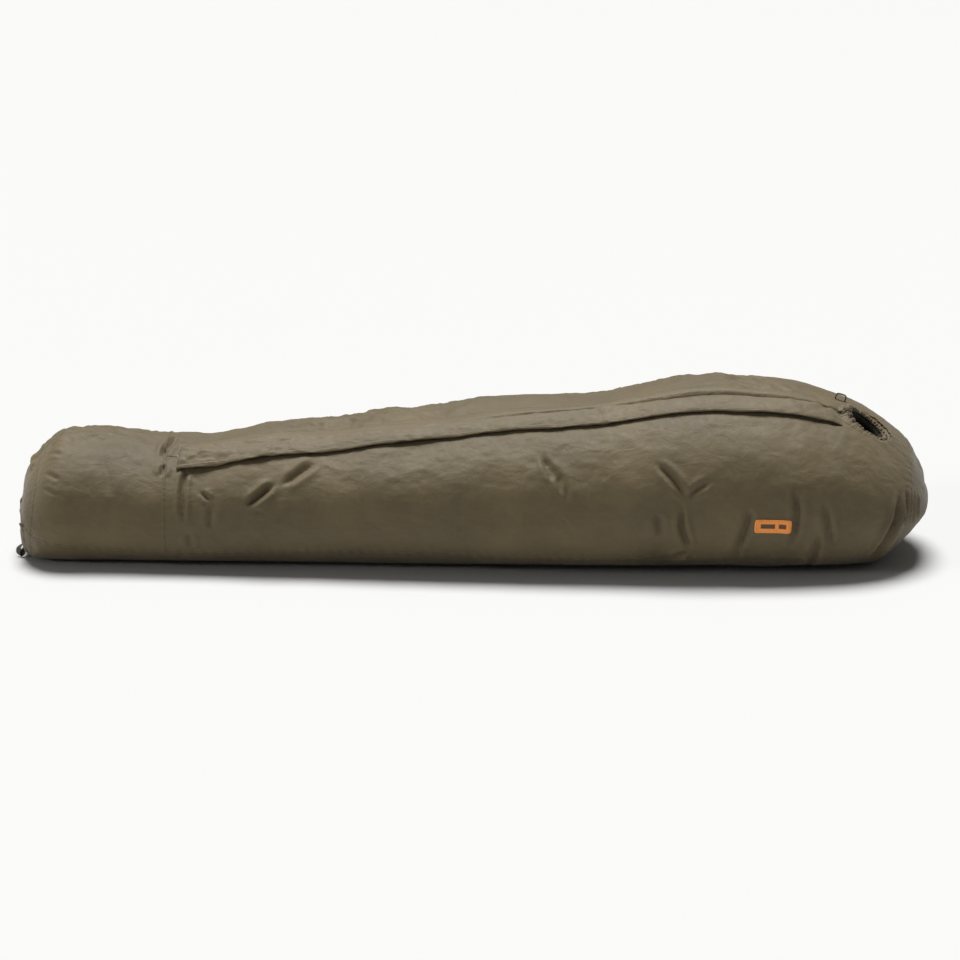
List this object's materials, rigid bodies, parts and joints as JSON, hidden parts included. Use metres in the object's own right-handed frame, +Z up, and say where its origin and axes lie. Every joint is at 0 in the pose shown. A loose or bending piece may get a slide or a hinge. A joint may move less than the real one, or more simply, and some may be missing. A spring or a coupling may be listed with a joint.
{
  "type": "bivy sack",
  "caption": "Mummy-shaped bivy sack, filled out and lying flat, with a long flap-covered two-way zip, gathered face opening, cord lock and webbing loops.",
  "frame": {"origin": "centre of the footprint, on the ground", "axes": "+X towards the head, +Z up, the zip and the label on the -Y side"},
  "size_m": [2.1541, 0.6135, 0.4251],
  "materials": {
    "shell_cloth": "matte",
    "flap_cloth": "matte",
    "floor_cloth": "matte",
    "seam_tape": "satin",
    "zip_tape": "matte",
    "zip_coil": "satin",
    "slider_metal": "satin",
    "drawcord": "matte",
    "cord_lock_plastic": "matte",
    "spring_steel": "bright",
    "eyelet_metal": "satin",
    "label_cloth": "satin",
    "webbing": "matte"
  },
  "bodies": {
    "shell": {"floor_panel": "floor_cloth", "foot_end_panel": "shell_cloth", "hood_end_panel": "shell_cloth", "foot_sleeve": "shell_cloth", "left_side_panel": "shell_cloth", "crown_panel": "shell_cloth", "floor_seam_tape": "seam_tape", "ankle_seam_tape": "seam_tape", "foot_seam_tape": "seam_tape", "hood_seam_tape": "seam_tape", "zip_tape_left": "zip_tape", "zip_tape_right": "zip_tape", "zip_coil_left": "zip_coil", "zip_coil_right": "zip_coil", "zip_foot_stop": "slider_metal", "zip_head_stop": "slider_metal", "storm_flap": "flap_cloth", "face_collar": "shell_cloth", "face_drawcord": "drawcord", "casing_eyelet": "eyelet_metal", "drawcord_knot": "drawcord", "label_patch": "label_cloth"},
    "flap_head": {"storm_flap_head": "flap_cloth"},
    "upper_slider": {"upper_slider": "slider_metal"},
    "upper_pull": {"upper_pull": "slider_metal"},
    "lower_slider": {"lower_slider": "slider_metal"},
    "lower_pull": {"lower_pull": "slider_metal"},
    "cord_lock": {"cord_lock_body": "cord_lock_plastic", "cord_lock_spring": "spring_steel"},
    "lock_button": {"cord_lock_plunger": "cord_lock_plastic"},
    "foot_loop": {"foot_loop": "webbing"},
    "hang_loop": {"hood_hang_loop": "webbing"}
  },
  "joints": [
    {"name": "flap_lift", "type": "hinge", "parent": "shell", "child": "flap_head", "pos_m": [0.7036, -0.086, 0.41406], "axis": [-0.989, 0, 0.1478], "range_deg": [0, 95]},
    {"name": "upper_zip", "type": "hinge", "parent": "shell", "child": "upper_slider", "pos_m": [0.585, -0.112, -0.3865], "axis": [0, -1, 0], "range_deg": [0, 30.7]},
    {"name": "upper_pull_tilt", "type": "hinge", "parent": "upper_slider", "child": "upper_pull", "pos_m": [0.83091, -0.11371, 0.36947], "axis": [0.1007, 0.9455, 0.3096], "range_deg": [0, 7]},
    {"name": "lower_zip", "type": "slide", "parent": "shell", "child": "lower_slider", "axis": [0.9942, 0, 0.1074], "range_m": [0, 0.987]},
    {"name": "lower_pull_tilt", "type": "hinge", "parent": "lower_slider", "child": "lower_pull", "pos_m": [-0.67647, -0.11371, 0.26465], "axis": [0.035, -0.9455, -0.3237], "range_deg": [0, 7]},
    {"name": "lock_slide", "type": "slide", "parent": "shell", "child": "cord_lock", "axis": [0, 0, -1], "range_m": [-0.001, 0.022]},
    {"name": "lock_press", "type": "slide", "parent": "cord_lock", "child": "lock_button", "axis": [1, 0, 0], "range_m": [0, 0.003], "stiffness_N_per_m": 400, "deforming": ["cord_lock_spring"]},
    {"name": "foot_loop_swing", "type": "hinge", "parent": "shell", "child": "foot_loop", "pos_m": [-1.06656, -0.058, 0.031], "axis": [0, 1, 0], "range_deg": [0, 80]},
    {"name": "hang_loop_flop", "type": "hinge", "parent": "shell", "child": "hang_loop", "pos_m": [0.85981, -0.01618, 0.37541], "axis": [0.9519, 0, -0.3063], "range_deg": [-50, 50], "stiffness_Nm_per_rad": 0.02}
  ]
}
